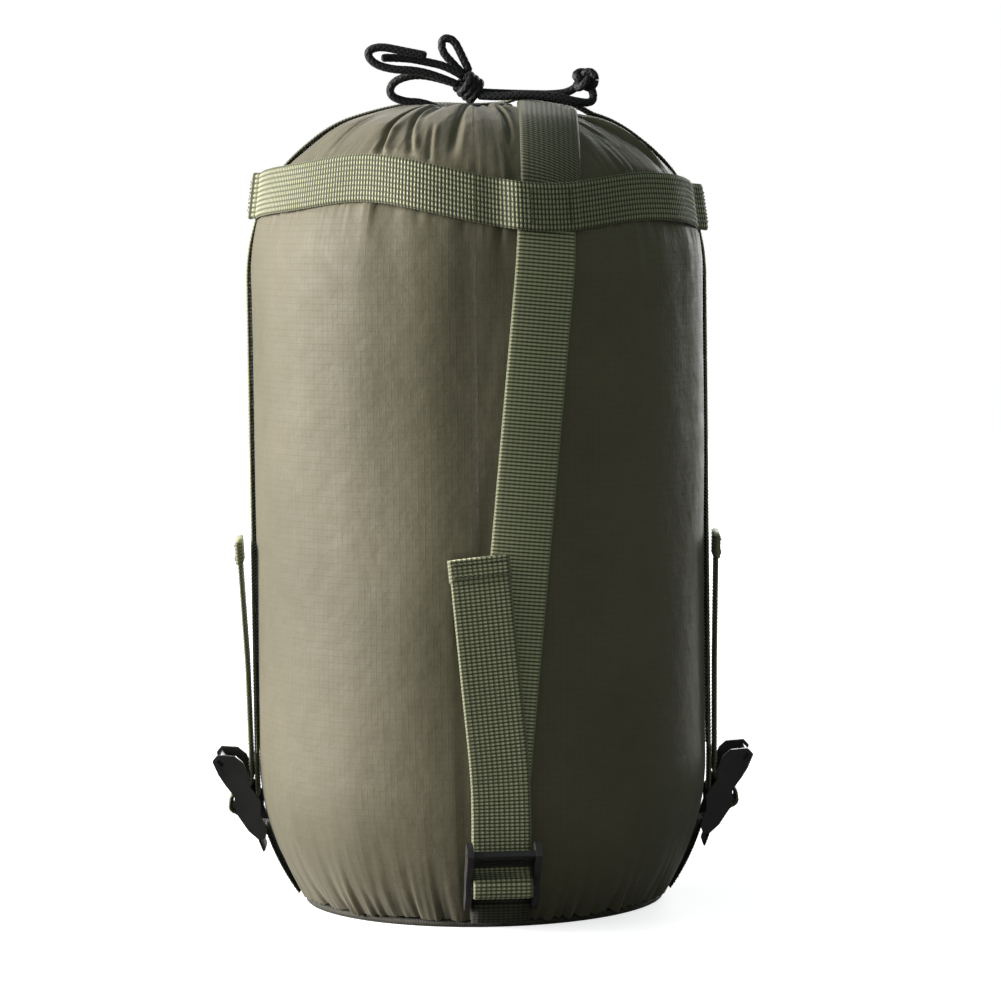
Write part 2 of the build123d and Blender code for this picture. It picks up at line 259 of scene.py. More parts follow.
def braided_cord():
    """Black braided sheath: two sets of strands that cross."""
    m = Material("braided_cord", Sheen_Weight=0.08, Sheen_Roughness=0.4, Specular_IOR_Level=0.35)
    vector, u, v = m.uv()
    wave = [m.math("SINE", m.math("MULTIPLY_ADD", u, 2 * pi / 2.6, m.math("MULTIPLY", v, turn)))
            for turn in (5 * 2 * pi, -5 * 2 * pi)]
    braid = m.math("MAXIMUM", *wave)
    fuzz = m.noise(m.place(), 0.4, 2.0)
    tone = m.span(m.math("MULTIPLY_ADD", fuzz, 0.5, braid), 0.0, 1.3)
    colour = m.mix(tone, (0.004, 0.004, 0.005, 1), (0.015, 0.016, 0.019, 1))
    return m.finish(colour, m.span(fuzz, 0.3, 0.7, 0.5, 0.7), m.span(braid, -1, 1), 0.15 * MM)


def cord_core():
    """The same cord where it has no braid of its own, inside the channel."""
    m = Material("cord_core", Sheen_Weight=0.2)
    fuzz = m.noise(m.place(), 0.5, 2.0)
    colour = m.mix(fuzz, (0.006, 0.006, 0.007, 1), (0.026, 0.027, 0.03, 1))
    return m.finish(colour, m.span(fuzz, 0.3, 0.7, 0.5, 0.7), fuzz, 0.15 * MM)


def thread():
    """Twisted polyester sewing thread."""
    m = Material("thread", Sheen_Weight=0.1)
    vector = m.place()
    fleck = m.noise(vector, 0.3, 2.0)
    colour = m.mix(fleck, (0.075, 0.078, 0.042, 1), (0.15, 0.155, 0.09, 1))
    return m.finish(colour, m.span(fleck, 0, 1, 0.5, 0.7), fleck, 0.05 * MM)


def binding_tape():
    """Dark grosgrain tape over the base seam."""
    m = Material("binding_tape", Sheen_Weight=0.1)
    vector, u, v = m.uv()
    rib = m.span(m.math("COSINE", m.math("MULTIPLY", u, 2 * pi / 0.9)), -1, 1)
    soil = m.noise(vector, 12.0, 3.0)
    base = m.mix(rib, (0.018, 0.018, 0.012, 1), (0.05, 0.05, 0.032, 1))
    colour = m.mix(m.span(soil, 0.4, 0.8, 0.0, 0.3), base, (0.075, 0.07, 0.05, 1))
    return m.finish(colour, m.span(soil, 0.3, 0.7, 0.6, 0.8), rib, 0.15 * MM)


RIPSTOP, PLASTIC, THREAD, TAPE = ripstop(), plastic(), thread(), binding_tape()
BRAID, CORD_CORE = braided_cord(), cord_core()
# SHADE is the webbing's dark colour: painted shade in the weave's gaps, and also its soil patches and
# selvedges
OLIVE, SHADE = (0.40, 0.43, 0.26), (0.05, 0.054, 0.028)
# painted light: the load straps are the same webbing brightened by tone 1.35
LOAD_WEBBING_PAINTED_LIGHT = webbing_cloth("load_webbing_painted_light", OLIVE, SHADE, 0.6, 1.35)
# painted shade: the dome straps are the same webbing darkened to tone 0.55
DOME_WEBBING_PAINTED_SHADE = webbing_cloth("dome_webbing_painted_shade", OLIVE, SHADE, 0.6, 0.55)
# painted light: the buckle webbing and tails are the same webbing brightened by tone 1.3
TAIL_WEBBING_PAINTED_LIGHT = webbing_cloth("tail_webbing_painted_light", OLIVE, SHADE, 0.25, 1.3)
BAND_WEBBING = webbing_cloth("band_webbing", OLIVE, SHADE, 0.2)
# painted shade: the anchor webbing is the same webbing darkened to tone 0.14
ANCHOR_WEBBING_PAINTED_SHADE = webbing_cloth("anchor_webbing_painted_shade", OLIVE, SHADE, 0.4, 0.14)


# ------------------------------------------------------------------ cords
def nurbs_line(name, points, steps=24):
    """Evenly dense points of the NURBS spline whose control points are given."""
    curve = bpy.data.curves.new(name, "CURVE")
    curve.dimensions, curve.resolution_u = "3D", steps
    spline = curve.splines.new("NURBS")
    spline.points.add(len(points) - 1)
    for control, point in zip(spline.points, points):
        control.co = (*point, 1)
    spline.order_u = 3
    spline.use_endpoint_u = True
    holder = bpy.data.objects.new(name, curve)
    bpy.context.scene.collection.objects.link(holder)
    line = bpy.data.meshes.new_from_object(holder)
    found = [v.co.copy() for v in line.vertices]
    bpy.data.objects.remove(holder)
    return found


def resample(points, step):
    """Points a step apart along a polyline, its two ends included."""
    lengths = [0.0]
    for a, b in zip(points, points[1:]):
        lengths.append(lengths[-1] + (b - a).length)
    count = max(2, round(lengths[-1] / step))
    found = []
    for i in range(count + 1):
        at = lengths[-1] * i / count
        k = min(len(points) - 2, max(0, bisect_left(lengths, at) - 1))
        part = (at - lengths[k]) / max(lengths[k + 1] - lengths[k], 1e-9)
        found.append(points[k].lerp(points[k + 1], part))
    return found


def tube(name, points, radius, material, closed=False, braid=0.09 * MM, sides=20):
    """Braided tube along points, with rounded ends unless it is closed."""
    count = len(points)
    verts, faces, uvs = [], [], []
    side = None
    run = 0.0
    for i, point in enumerate(points):
        before = points[i - 1] if i or closed else point
        after = points[(i + 1) % count] if i < count - 1 or closed else point
        along = (after - before).normalized()
        side = along.orthogonal() if side is None else side - along * side.dot(along)
        side.normalize()
        other = along.cross(side)
        run += (point - points[i - 1]).length if i else 0.0
        from_end = min(i, count - 1 - i)
        cap = 1.0 if closed or from_end > 3 else (0.45, 0.8, 0.94, 1.0)[from_end]
        for j in range(sides):
            angle = 2 * pi * j / sides
            crossing = max(sin(2 * pi * run / (2.6 * MM) + s * 5 * angle) for s in (1, -1))
            r = (radius + braid * (crossing - 0.6)) * cap
            verts.append(point + (side * cos(angle) + other * sin(angle)) * r)
            uvs.append((run / MM, j / sides))
    for i in range(count if closed else count - 1):
        a, b = i * sides, (i + 1) % count * sides
        faces += [(a + j, a + (j + 1) % sides, b + (j + 1) % sides, b + j) for j in range(sides)]
    if not closed:
        faces += [tuple(range(sides))[::-1], tuple(range((count - 1) * sides, count * sides))]
    return mesh_piece(name, verts, faces, material, uvs)


# each route's control points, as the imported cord's
CORD_ROUTES = {
    "cord_mouth_strand": [(-0.0155, -0.0065, 0.3506), (-0.022, -0.0062, 0.3534),
                          (-0.030, -0.0064, 0.3536), (-0.0366, -0.0072, 0.3564),
                          (-0.0356, -0.008, 0.362), (-0.0275, -0.0092, 0.3652),
                          (-0.018, -0.0098, 0.3646), (-0.008, -0.0106, 0.3612)],
    "cord_folded_end": [(-0.0065, -0.0152, 0.3604), (-0.015, -0.0158, 0.3642),
                        (-0.025, -0.0162, 0.367), (-0.035, -0.0164, 0.3674),
                        (-0.0432, -0.0162, 0.370), (-0.0462, -0.016, 0.3752),
                        (-0.0406, -0.0162, 0.3776), (-0.0305, -0.0166, 0.3754),
                        (-0.020, -0.0168, 0.3732)],
    "cord_short_end": [(-0.0042, -0.0136, 0.364), (-0.011, -0.0134, 0.3684),
                       (-0.020, -0.013, 0.3706), (-0.030, -0.0129, 0.3726),
                       (-0.0398, -0.0126, 0.3726)],
    "cord_small_loop": [(-0.0034, -0.0096, 0.364), (-0.0086, -0.0092, 0.3696),
                        (-0.0136, -0.009, 0.3752), (-0.0134, -0.009, 0.381),
                        (-0.0084, -0.009, 0.3804), (-0.0052, -0.0092, 0.374),
                        (-0.0016, -0.0104, 0.366)],
    "cord_upper_right": [(0.0026, -0.012, 0.3572), (0.012, -0.0114, 0.3566),
                         (0.023, -0.0114, 0.3562), (0.034, -0.012, 0.3558),
                         (0.0424, -0.0124, 0.3568), (0.046, -0.0126, 0.3602)],
    "cord_lower_right": [(0.0016, -0.0152, 0.3558), (0.011, -0.0172, 0.3549),
                         (0.0225, -0.0182, 0.3562), (0.034, -0.019, 0.3552),
                         (0.0436, -0.0188, 0.3527), (0.0506, -0.017, 0.3516),
                         (0.0524, -0.0142, 0.3554), (0.0502, -0.0128, 0.3598)],
}


def knot_piece(node, points, turn):
    """Closed strand along points round the knot's centre, turned by degrees about X, Y and Z."""
    low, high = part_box(node)
    spin = Matrix.Identity(3)
    for axis, angle in zip("XYZ", turn):
        spin = Matrix.Rotation(radians(angle), 3, axis) @ spin
    centre = (low + high) / 2 - Vector((0, 0, DOME_DROP))
    points = [centre + spin @ point for point in points]
    knot = tube("tied_" + node, points, CORD_D / 2, BRAID, closed=True)
    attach(knot, "top")
    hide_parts(node)
    return knot


def overhand(ring, bulge, count=220):
    """Tight overhand knot: a strand that goes twice round while it crosses itself."""
    points = []
    for i in range(count):
        a = 2 * pi * i / count
        radius = ring + bulge * cos(3 * a)
        points.append(Vector((radius * cos(2 * a), radius * sin(2 * a), 1.25 * bulge * sin(3 * a))))
    return points


def barrel(ring, length, turns=3, wound=0.8, count=320):
    """Wraps side by side along X, and the strand's way back through their middle."""
    points = []
    for i in range(count):
        share = i / count / wound
        if share < 1:
            a = 2 * pi * turns * share
            points.append(Vector(((share - 0.5) * length, ring * cos(a), ring * sin(a))))
        else:
            back = (i / count - wound) / (1 - wound)
            points.append(Vector(((0.5 - back) * length, ring * (1 - 2 * back) ** 2, 0)))
    for _ in range(12):
        points = [(points[i - 1] + points[i] * 2 + points[(i + 1) % count]) / 4 for i in range(count)]
    return points


def cords():
    """The six visible strands of the drawcord and the two knots that they run between."""
    bow = knot_piece("bow_knot", barrel(4.4 * MM, 7.6 * MM), (-60, 38, 14))
    end = knot_piece("end_knot", overhand(3.2 * MM, 1.5 * MM), (55, 0, -20))
    for name, route in CORD_ROUTES.items():
        route = [(x, y, z - DOME_DROP) for x, y, z in route]
        path = resample(nurbs_line(name + "_line", route), 0.45 * MM)
        strand = tube(name.replace("cord", "drawcord", 1), path, CORD_D / 2, BRAID)
        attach(strand, "top")
        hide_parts(name)
        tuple(route[0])


cords()


# ------------------------------------------------------------------ the bag's outline
def outline(arcs, step=0.5 * MM):
    """Samples (r, z, outward r, outward z) a step apart, from the base seam over arcs."""
    corner_c = (BODY_R - CORNER_R, CORNER_Z)
    low = degrees(asin((SEAM_Z - CORNER_Z) / CORNER_R))
    pieces = [(radians(-low) * CORNER_R, corner_c, CORNER_R, low, 0.0),
              (SHOULDER_Z - CORNER_Z, None, 0.0, 0.0, 0.0)]
    centre, radius, angle = (BODY_R - arcs[0][0], SHOULDER_Z), arcs[0][0], 0.0
    for next_radius, end in arcs:
        shift = radius - next_radius
        centre = (centre[0] + shift * cos(radians(angle)), centre[1] + shift * sin(radians(angle)))
        pieces.append((radians(end - angle) * next_radius, centre, next_radius, angle, end))
        radius, angle = next_radius, end
    total = sum(p[0] for p in pieces)
    samples = []
    for n in range(int(total / step) + 1):
        left = n * step
        for length, centre, radius, first, last in pieces:
            if left <= length:
                break
            left -= length
        if centre is None:
            samples.append((BODY_R, CORNER_Z + left, 1.0, 0.0))
            continue
        a = radians(first + (last - first) * min(1.0, left / length))
        z = centre[1] + radius * sin(a)
        z -= DOME_DROP * smooth((z - 312 * MM) / (30 * MM))
        samples.append((centre[0] + radius * cos(a), z, cos(a), sin(a)))
    return samples


STEP = 0.5 * MM
BAG = outline(DOME_ARCS)
BAG_LENGTH = (len(BAG) - 1) * STEP
CROWN = outline(DOME_ARCS[:2] + [(DOME_ARCS[2][0], 89)])     # straps run flat over the mouth
BAG_HEIGHTS = [p[1] for p in BAG if p[3] < 0.95]
CROWN_RADII = [-p[0] for p in CROWN if p[1] > SHOULDER_Z]
CROWN_FIRST = len(CROWN) - len(CROWN_RADII)


def between(samples, at):
    """Sample at a position counted in steps."""
    k = max(0, min(len(samples) - 2, int(at)))
    part = min(1.0, max(0.0, at - k))
    return tuple(a + (b - a) * part for a, b in zip(samples[k], samples[k + 1]))


def at_height(z):
    """(r, z, outward r, outward z) of the outline at a height of the wall or shoulder."""
    k = max(1, min(len(BAG_HEIGHTS) - 1, bisect_left(BAG_HEIGHTS, z)))
    low, high = BAG_HEIGHTS[k - 1], BAG_HEIGHTS[k]
    return between(BAG, k - 1 + (z - low) / (high - low))


def length_to(z):
    """Distance along the fabric from the base seam to a height."""
    k = max(1, min(len(BAG_HEIGHTS) - 1, bisect_left(BAG_HEIGHTS, z)))
    low, high = BAG_HEIGHTS[k - 1], BAG_HEIGHTS[k]
    return (k - 1 + (z - low) / (high - low)) * STEP


def crown(r):
    """(z, outward r, outward z) of the surface that the straps follow over the dome."""
    dip = 2.4 * MM * smooth((27 * MM - r) / (14 * MM))     # they sag over the mouth
    if -r >= CROWN_RADII[-1]:
        return CROWN[-1][1] - dip, 0.0, 1.0
    k = max(1, min(len(CROWN_RADII) - 1, bisect_left(CROWN_RADII, -r)))
    low, high = CROWN_RADII[k - 1], CROWN_RADII[k]
    _, z, out_r, out_z = between(CROWN, CROWN_FIRST + k - 1 + (-r - low) / (high - low))
    return z - dip, out_r, out_z


def around(azimuth, r, z):
    """Point at an azimuth in radians."""
    return Vector((r * sin(azimuth), -r * cos(azimuth), z))


# ------------------------------------------------------------------ the bag's relief
# Creases of the dome that face the front: azimuth at the mouth, azimuth at the band, where it
# starts and ends between mouth 0 and band 1, depth and width.
FRONT_CREASES = [
    (-62, -52, 0.35, 0.8, 1.2, 1.7), (-40, -29, 0.05, 0.95, 2.4, 1.9), (-33, -17, 0.0, 0.9, 1.8, 1.5),
    (-19, -13, 0.55, 1.0, 1.2, 1.2), (-6, -7, 0.0, 0.85, 1.5, 2.2), (17, 10, 0.1, 0.7, 1.6, 1.4),
    (62, 70, 0.3, 1.0, 2.0, 2.2), (44, 58, 0.15, 0.6, 1.2, 1.6),
]


def all_creases():
    """The front's creases, and others like them on the rest of the dome."""
    rng = Random(11)
    creases = list(FRONT_CREASES)
    azimuth = 84.0
    while azimuth < 282:
        creases.append((azimuth, azimuth + rng.uniform(-9, 9), rng.uniform(0, 0.25),
                        rng.uniform(0.65, 1.0), rng.uniform(1.0, 2.3), rng.uniform(1.4, 2.4)))
        azimuth += rng.uniform(10, 17)
    return creases


CREASES = all_creases()
MOUTH_S = BAG_LENGTH - 12 * MM
BAND_TOP_S = length_to(BAND_Z + BAND_W)


def turn_between(a, b):
    """Smallest turn from b to a, in radians."""
    return (a - b + pi) % (2 * pi) - pi


def crossing(side):
    """Azimuth at which a side's strap passes under the band."""
    return radians(side["azimuth"]) + asin(side["strap_t"] / BODY_R)


# how the band wanders up and down on the shoulder: azimuth, drop in mm, width in degrees
BAND_SWAY = [(18, 8.6, 25), (95, 11, 42), (162, 4.0, 24), (265, 3.4, 24), (-30, -4.4, 20)]


def band_sag(azimuth):
    """Height of the band over its plain place: it is pulled down where straps hold it."""
    sag = 3.4 * MM
    for line, drop, width in BAND_SWAY:
        turn = degrees(turn_between(azimuth, radians(line)))
        sag -= drop * MM * exp(-(turn / width) ** 2)
    return sag


def crease_relief(azimuth, s, r):
    """Sharp radial folds that run from the mouth down to the band."""
    share = (MOUTH_S - s) / (MOUTH_S - BAND_TOP_S)
    if share < -0.12:
        return 0.0
    total = 0.0
    for mouth, band, start, end, depth, width in CREASES:
        line = radians(mouth + (band - mouth) * max(0.0, share))
        across = r * turn_between(azimuth, line)
        w = width * MM * (0.55 + 0.45 * max(0.0, share))
        if abs(across) > 5 * w:
            continue
        fade = smooth((share - start + 0.12) / 0.2) * smooth((end - share) / 0.3 + 0.4)
        valley = exp(-(across / w) ** 2)
        ridge = 0.6 * exp(-((across - 1.8 * w) / w) ** 2)
        total += depth * MM * fade * (ridge - valley)
    return total


def cover(azimuth, point, z):
    """1 under webbing or a buckle, 0 on open fabric."""
    if z > STRAP_CUT_Z:
        gaps = [abs(point.x - CROSS_X), abs(point.y - CROSS_Y)]
    else:
        gaps = []
        for side in SIDES.values():
            turn = turn_between(azimuth, radians(side["azimuth"]))
            if abs(turn) < 0.8:
                rise = max(0.0, (z - EXIT_Z) / (STRAP_CUT_Z - EXIT_Z))
                gaps.append(abs(BODY_R * sin(turn) - side["strap_t"] * rise))
                if z < TAIL_TOP_Z:
                    gaps.append(abs(BODY_R * sin(turn)))
    near = min(gaps, default=1.0) - WEB_W / 2
    return 1 - smooth((near - 1.0 * MM) / (7 * MM))


def relief(azimuth, s, r, z, settled):
    """How far the fabric stands out from the plain outline at a point of it."""
    point = around(azimuth, r, z)
    band = BAND_Z + band_sag(azimuth)
    below, above = band - z, z - (band + BAND_W)
    soft = 1.0 * MM * noise.noise(Vector((point.x / 0.028, point.y / 0.028, z / 0.11)))
    broad = 1.8 * MM * noise.noise(Vector((point.x / 0.07, point.y / 0.07, z / 0.09 + 5)))
    around_r = Vector((sin(azimuth), cos(azimuth), 0)) * BODY_R
    lively = 0.5 + noise.noise(around_r / 0.02 + Vector((3, 3, 3)))
    fine = noise.noise(around_r / 0.0021 + Vector((0, 0, z / 0.04)))
    coarse = noise.noise(around_r / 0.0048 + Vector((7, 1, z / 0.05)))
    fade = exp(-max(0.0, below, above) / (6 * MM)) * max(0.2, lively)
    gathers = 1.5 * MM * fade * (fine + 0.8 * coarse)
    drape = noise.noise(around_r / 0.012 + Vector((2, 8, z / 0.2)))
    drape *= 1.5 * MM * exp(-max(0.0, below) / (38 * MM)) if below > 0 else 0.0
    pucker = 2.6 * MM * exp(-(z - SEAM_Z) / (11 * MM)) * (coarse + 0.6 * fine)
    radial = 0.0
    if above > 0:
        ease = smooth(above / (20 * MM))
        angle_noise = noise.noise(Vector((sin(azimuth) * 5.5, cos(azimuth) * 5.5, s / 0.05)))
        radial = 1.8 * MM * ease * angle_noise * smooth((r - 12 * MM) / (20 * MM))
        near_mouth = smooth((46 * MM - r) / (22 * MM))
        radial += 0.9 * MM * near_mouth * sin(26 * azimuth + 3 * angle_noise)
    out = soft + broad + drape + gathers + radial + settled + crease_relief(azimuth, s, r)
    top = (4.2 - 3.4 * smooth((78 * MM - r) / (22 * MM))) * MM if above > 0 else 4.2 * MM
    out = min(top, max(-5 * MM, out))
    pressed = cover(azimuth, point, z)
    kept = min(out, 0.0) * 0.35 - 0.45 * MM
    out = out * (1 - pressed) + kept * pressed
    squeezed = smooth((1.2 * MM - max(below, above)) / (2.2 * MM))
    out = out * (1 - squeezed) + (min(out, 0.0) * 0.3 - 0.4 * MM) * squeezed
    return out + pucker * (1 - 0.8 * pressed)


def evened(rows, round_passes=1, up_passes=6):
    """Grid smoothed more along its columns, so that folds run up the bag."""
    for _ in range(round_passes):
        rows = [[(row[j - 1] + 2 * row[j] + row[(j + 1) % len(row)]) / 4 for j in range(len(row))]
                for row in rows]
    for _ in range(up_passes):
        more = [rows[0]] + rows + [rows[-1]]
        rows = [[(a + 2 * b + c) / 4 for a, b, c in zip(*three)]
                for three in zip(more, more[1:], more[2:])]
    return rows


def settle(columns=120, spacing=5 * MM):
    """Cloth simulation of the stuffed bag, held at its seam, band and mouth.

    The cloth is cut a little too wide for the bag, so pressure pushes it into soft folds.
    Returns rows of outward movement, and the spacing of the rows along the outline."""
    rows = int(BAG_LENGTH / spacing) + 1
    rng = Random(5)
    verts, cut, normals, weights = [], [], [], []
    band_mid = length_to(BAND_Z + BAND_W / 2)
    for i in range(rows):
        r, z, out_r, out_z = between(BAG, i * spacing / STEP)
        held = max(smooth(1 - i / 2), smooth((i - rows + 4) / 3),
                   smooth(1.6 - abs(i * spacing - band_mid) / (10 * MM)))
        for j in range(columns):
            azimuth = 2 * pi * j / columns
            normal = around(azimuth, out_r, out_z)
            start = around(azimuth, r, z)
            verts.append(start + normal * rng.uniform(-0.8, 0.2) * MM)
            cut.append(around(azimuth, r * 1.04, z))
            normals.append(normal)
            weights.append(max(held, 0.9 * cover(azimuth, start, z)))
    faces = [(i * columns + j, i * columns + (j + 1) % columns,
              (i + 1) * columns + (j + 1) % columns, (i + 1) * columns + j)
             for i in range(rows - 1) for j in range(columns)]
    bag = mesh_piece("settling_bag", verts, faces, RIPSTOP)
    group = bag.vertex_groups.new(name="held")
    for k, weight in enumerate(weights):
        if weight > 0.01:
            group.add([k], weight, "REPLACE")
    bag.shape_key_add(name="start")
    cut_key = bag.shape_key_add(name="cut")
    for point, place in zip(cut_key.data, cut):
        point.co = place
    cloth = bag.modifiers.new("cloth", "CLOTH").settings
    cloth.quality = 6
    cloth.mass = 0.2
    cloth.tension_stiffness = cloth.compression_stiffness = 12
    cloth.shear_stiffness = 4
    cloth.bending_stiffness = 0.15
    cloth.vertex_group_mass = "held"
    cloth.rest_shape_key = cut_key
    cloth.use_pressure = True
    cloth.uniform_pressure_force = 2.5
    cloth.effector_weights.gravity = 0
    scene = bpy.context.scene
    for number in range(1, 21):
        scene.frame_set(number)
    shape = bag.evaluated_get(bpy.context.evaluated_depsgraph_get()).data
    moved = [(shape.vertices[k].co - verts[k]).dot(normals[k]) for k in range(len(verts))]
    bpy.data.objects.remove(bag)
    scene.frame_set(1)
    grid = evened([moved[i * columns:(i + 1) * columns] for i in range(rows)])
    return [[min(2.5 * MM, max(-1.5 * MM, m)) for m in row] for row in grid], spacing


SETTLED, SETTLED_SPACING = settle()


def cubic(a, b, c, d, t):
    """Smooth curve through b and c, t of the way from b to c."""
    return b + 0.5 * t * (c - a + t * (2 * a - 5 * b + 4 * c - d + t * (3 * (b - c) + d - a)))


def settled_at(azimuth, s):
    """The settled cloth's outward movement between its grid points."""
    columns, last = len(SETTLED[0]), len(SETTLED) - 1
    x, y = azimuth % (2 * pi) / (2 * pi) * columns, s / SETTLED_SPACING
    i, j = min(last - 1, int(y)), int(x)
    four = []
    for k in range(i - 1, i + 3):
        row = SETTLED[min(last, max(0, k))]
        four.append(cubic(*(row[(j + n) % columns] for n in (-1, 0, 1, 2)), x - j))
    return cubic(*four, min(1.0, y - i))


def bag_grid(name, first_s, last_s, columns=500, row=1.7 * MM):
    """Fabric between two distances from the base seam, as a closed ring of faces."""
    rows = int((last_s - first_s) / row) + 1
    verts, uvs = [], []
    for i in range(rows + 1):
        s = first_s + (last_s - first_s) * i / rows
        r, z, out_r, out_z = between(BAG, s / STEP)
        for j in range(columns):
            azimuth = 2 * pi * j / columns
            out = relief(azimuth, s, r, z, settled_at(azimuth, s))
            verts.append(around(azimuth, r + out_r * out, z + out_z * out))
            uvs.append((azimuth * BODY_R / MM, s / MM))
    faces = [(i * columns + j, i * columns + (j + 1) % columns,
              (i + 1) * columns + (j + 1) % columns, (i + 1) * columns + j)
             for i in range(rows) for j in range(columns)]
    return mesh_piece(name, verts, faces, RIPSTOP, uvs)


def bag():
    """Wall, and the collar that is drawn in over the load."""
    split = length_to(BAND_Z + BAND_W * 0.6)
    wall = bag_grid("bag_wall", 0.0, split)
    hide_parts("side_wall", "packed_load")
    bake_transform(wall)
    collar = bag_grid("bag_collar", split, BAG_LENGTH)
    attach(collar, "top")
    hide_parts("top_collar")


bag()


def ring_strip(name, material, profile, columns, body, *nodes, slot):
    """Closed ring swept from profile(azimuth), a loop of (r, z) with its v in millimetres."""
    verts, uvs = [], []
    for j in range(columns):
        azimuth = 2 * pi * j / columns
        loop = profile(azimuth)
        for r, z, v in loop:
            verts.append(around(azimuth, r, z))
            uvs.append((azimuth * BODY_R / MM, v))
    n = len(loop)
    faces = [(j * n + k, j * n + (k + 1) % n, (j + 1) % columns * n + (k + 1) % n,
              (j + 1) % columns * n + k)
             for j in range(columns) for k in range(n)]
    piece = mesh_piece(name, verts, faces, material, uvs)
    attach(piece, body)
    if nodes:
        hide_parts(*nodes)
    return piece


def mouth():
    """Gathered channel round the mouth, and the pleated cloth that closes inside it."""
    def casing(azimuth):
        wobble = noise.noise(Vector((sin(azimuth) * 6, cos(azimuth) * 6, 2)))
        pleat = 0.45 * MM * sin(34 * azimuth + 4 * wobble)
        loop = []
        for k in range(14):
            a = 2 * pi * k / 14
            radius = 3.1 * MM + pleat * (0.6 + 0.4 * cos(a))
            loop.append((CASING_R + radius * cos(a), CASING_Z + radius * sin(a), k * 1.4))
        return loop

    def closure(azimuth):
        wobble = noise.noise(Vector((sin(azimuth) * 4, cos(azimuth) * 4, 9)))
        loop = []
        for k in range(12):
            share = k / 11
            r = (12.8 - 11.8 * share) * MM
            pleat = (1.6 * sin(17 * azimuth + 2 * wobble)) * MM * sin(pi * min(1, share * 1.1)) * 0.7
            loop.append((r, CASING_Z - (1.0 + 5.0 * share) * MM + pleat, 13 * share))
        return loop + [(r, z - 0.8 * MM, v) for r, z, v in reversed(loop)]

    ring_strip("mouth_casing", RIPSTOP, casing, 340, "top", "drawcord_casing", slot="bag_fabric")
    ring_strip("mouth_closure", RIPSTOP, closure, 272, "top", slot="bag_fabric")


mouth()


def base():
    """Bottom panel and the taped seam round it."""
    panel_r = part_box("bottom_panel")[1].x
    low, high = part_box("bottom_binding")
    height, outer = high.z - low.z, high.x

    def tape(azimuth):
        wave = noise.noise(Vector((sin(azimuth), cos(azimuth), 0)) * 22)
        loop = []
        for k in range(12):
            a = 2 * pi * k / 12
            r = outer - 1.2 * MM + (1.2 * MM + 0.25 * MM * wave) * cos(a)
            loop.append((r, height / 2 * (1 + sin(a)), k * 0.8))
        return loop

    ring_strip("base_binding_tape", TAPE, tape, 540, "base", "bottom_binding", slot="base_binding")

    def panel(azimuth):
        loop = []
        for k in range(26):
            r = panel_r * (1 - k / 26)
            sag = noise.noise(Vector((r * sin(azimuth), r * cos(azimuth), 0)) / 0.02)
            loop.append((r, 0.5 * MM + 0.35 * MM * abs(sag) * smooth(k / 5), (panel_r - r) / MM))
        return loop + [(r, z + 0.6 * MM, v) for r, z, v in reversed(loop)]

    ring_strip("base_panel", RIPSTOP, panel, 180, "base", "bottom_panel", slot="bag_fabric")


base()


# ------------------------------------------------------------------ webbing
ACROSS = 24                              # faces across the outer side of a strap


def weave(along, across):
    """Height of the weave, 0 to 1: ribs across the strap, broken into dots by its columns."""
    column = cos(2 * pi * across / COLUMN)
    rib = cos(2 * pi * along / RIB)
    return (0.5 + 0.5 * rib) * (0.66 + 0.34 * column)


def strap(name, place, length, cloth, width=WEB_W, thickness=WEB_T, start=0.0, closed=False):
    """Woven strap. place(along, across) gives a point of its middle layer and its outward side."""
    rows = max(2, round(length / (RIB / 4)))
    ring = [(-width / 2 + width * j / ACROSS, 1) for j in range(ACROSS + 1)]
    ring += [(t, -1) for t, _ in reversed(ring[::4])]
    verts, uvs = [], []
    for i in range(rows + (0 if closed else 1)):
        along = length * i / rows
        for across, side in ring:
            point, outward = place(along, across)
            edge = smooth((width / 2 - abs(across)) / (1.2 * MM))
            rise = thickness / 2 * (0.45 + 0.55 * edge) - 0.22 * MM
            rise += 0.26 * MM * weave(start + along, across) * (0.3 + 0.7 * edge)
            verts.append(point + outward * side * rise)
            uvs.append(((start + along) / MM, across / MM))
    n, total = len(ring), len(verts)
    faces = []
    for i in range(rows):
        a, b = i * n, (i + 1) * n % total if closed else (i + 1) * n
        faces += [(a + k, b + k, b + (k + 1) % n, a + (k + 1) % n) for k in range(n)]
    if not closed:
        faces += [tuple(range(n)), tuple(range(rows * n, (rows + 1) * n))[::-1]]
    return mesh_piece(name, verts, faces, cloth, uvs)


def sewn(place, corners, lift=WEB_T / 2 + 0.1 * MM, pitch=2.5 * MM):
    """Stitches (start, end, outward) along straight lines between (along, across) corners."""
    found = []
    for (a, b), (c, d) in zip(corners, corners[1:]):
        count = max(1, round(hypot(c - a, d - b) / pitch))
        for k in range(count):
            ends = [place(a + (c - a) * share / count, b + (d - b) * share / count)
                    for share in (k + 0.1, k + 0.9)]
            found.append((*(point + outward * lift for point, outward in ends), ends[0][1]))
    return found


def stitching(name, stitches, body, thick=0.28 * MM, rings=5, sides=6):
    """Raised stitches, each a short arched thread that tapers into the cloth."""
    verts, faces = [], []
    for start, end, outward in stitches:
        across = (end - start).cross(outward).normalized()
        first = len(verts)
        for k in range(rings):
            swell = sin(pi * (0.08 + 0.84 * k / (rings - 1)))
            centre = start.lerp(end, k / (rings - 1)) + outward * 0.3 * MM * (swell - 0.6)
            for j in range(sides):
                a = 2 * pi * j / sides
                verts.append(centre + (across * cos(a) + outward * sin(a)) * thick * swell)
        for k in range(first, first + (rings - 1) * sides, sides):
            faces += [(k + j, k + (j + 1) % sides, k + sides + (j + 1) % sides, k + sides + j)
                      for j in range(sides)]
        last = len(verts) - sides
        faces += [tuple(range(first, first + sides))[::-1], tuple(range(last, last + sides))]
    piece = mesh_piece(name, verts, faces, THREAD)
    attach(piece, body)


def rows_across(places, reach):
    """Corner lists of straight rows across a strap at each place along it."""
    return [[(along, -reach), (along, reach)] for along in places]


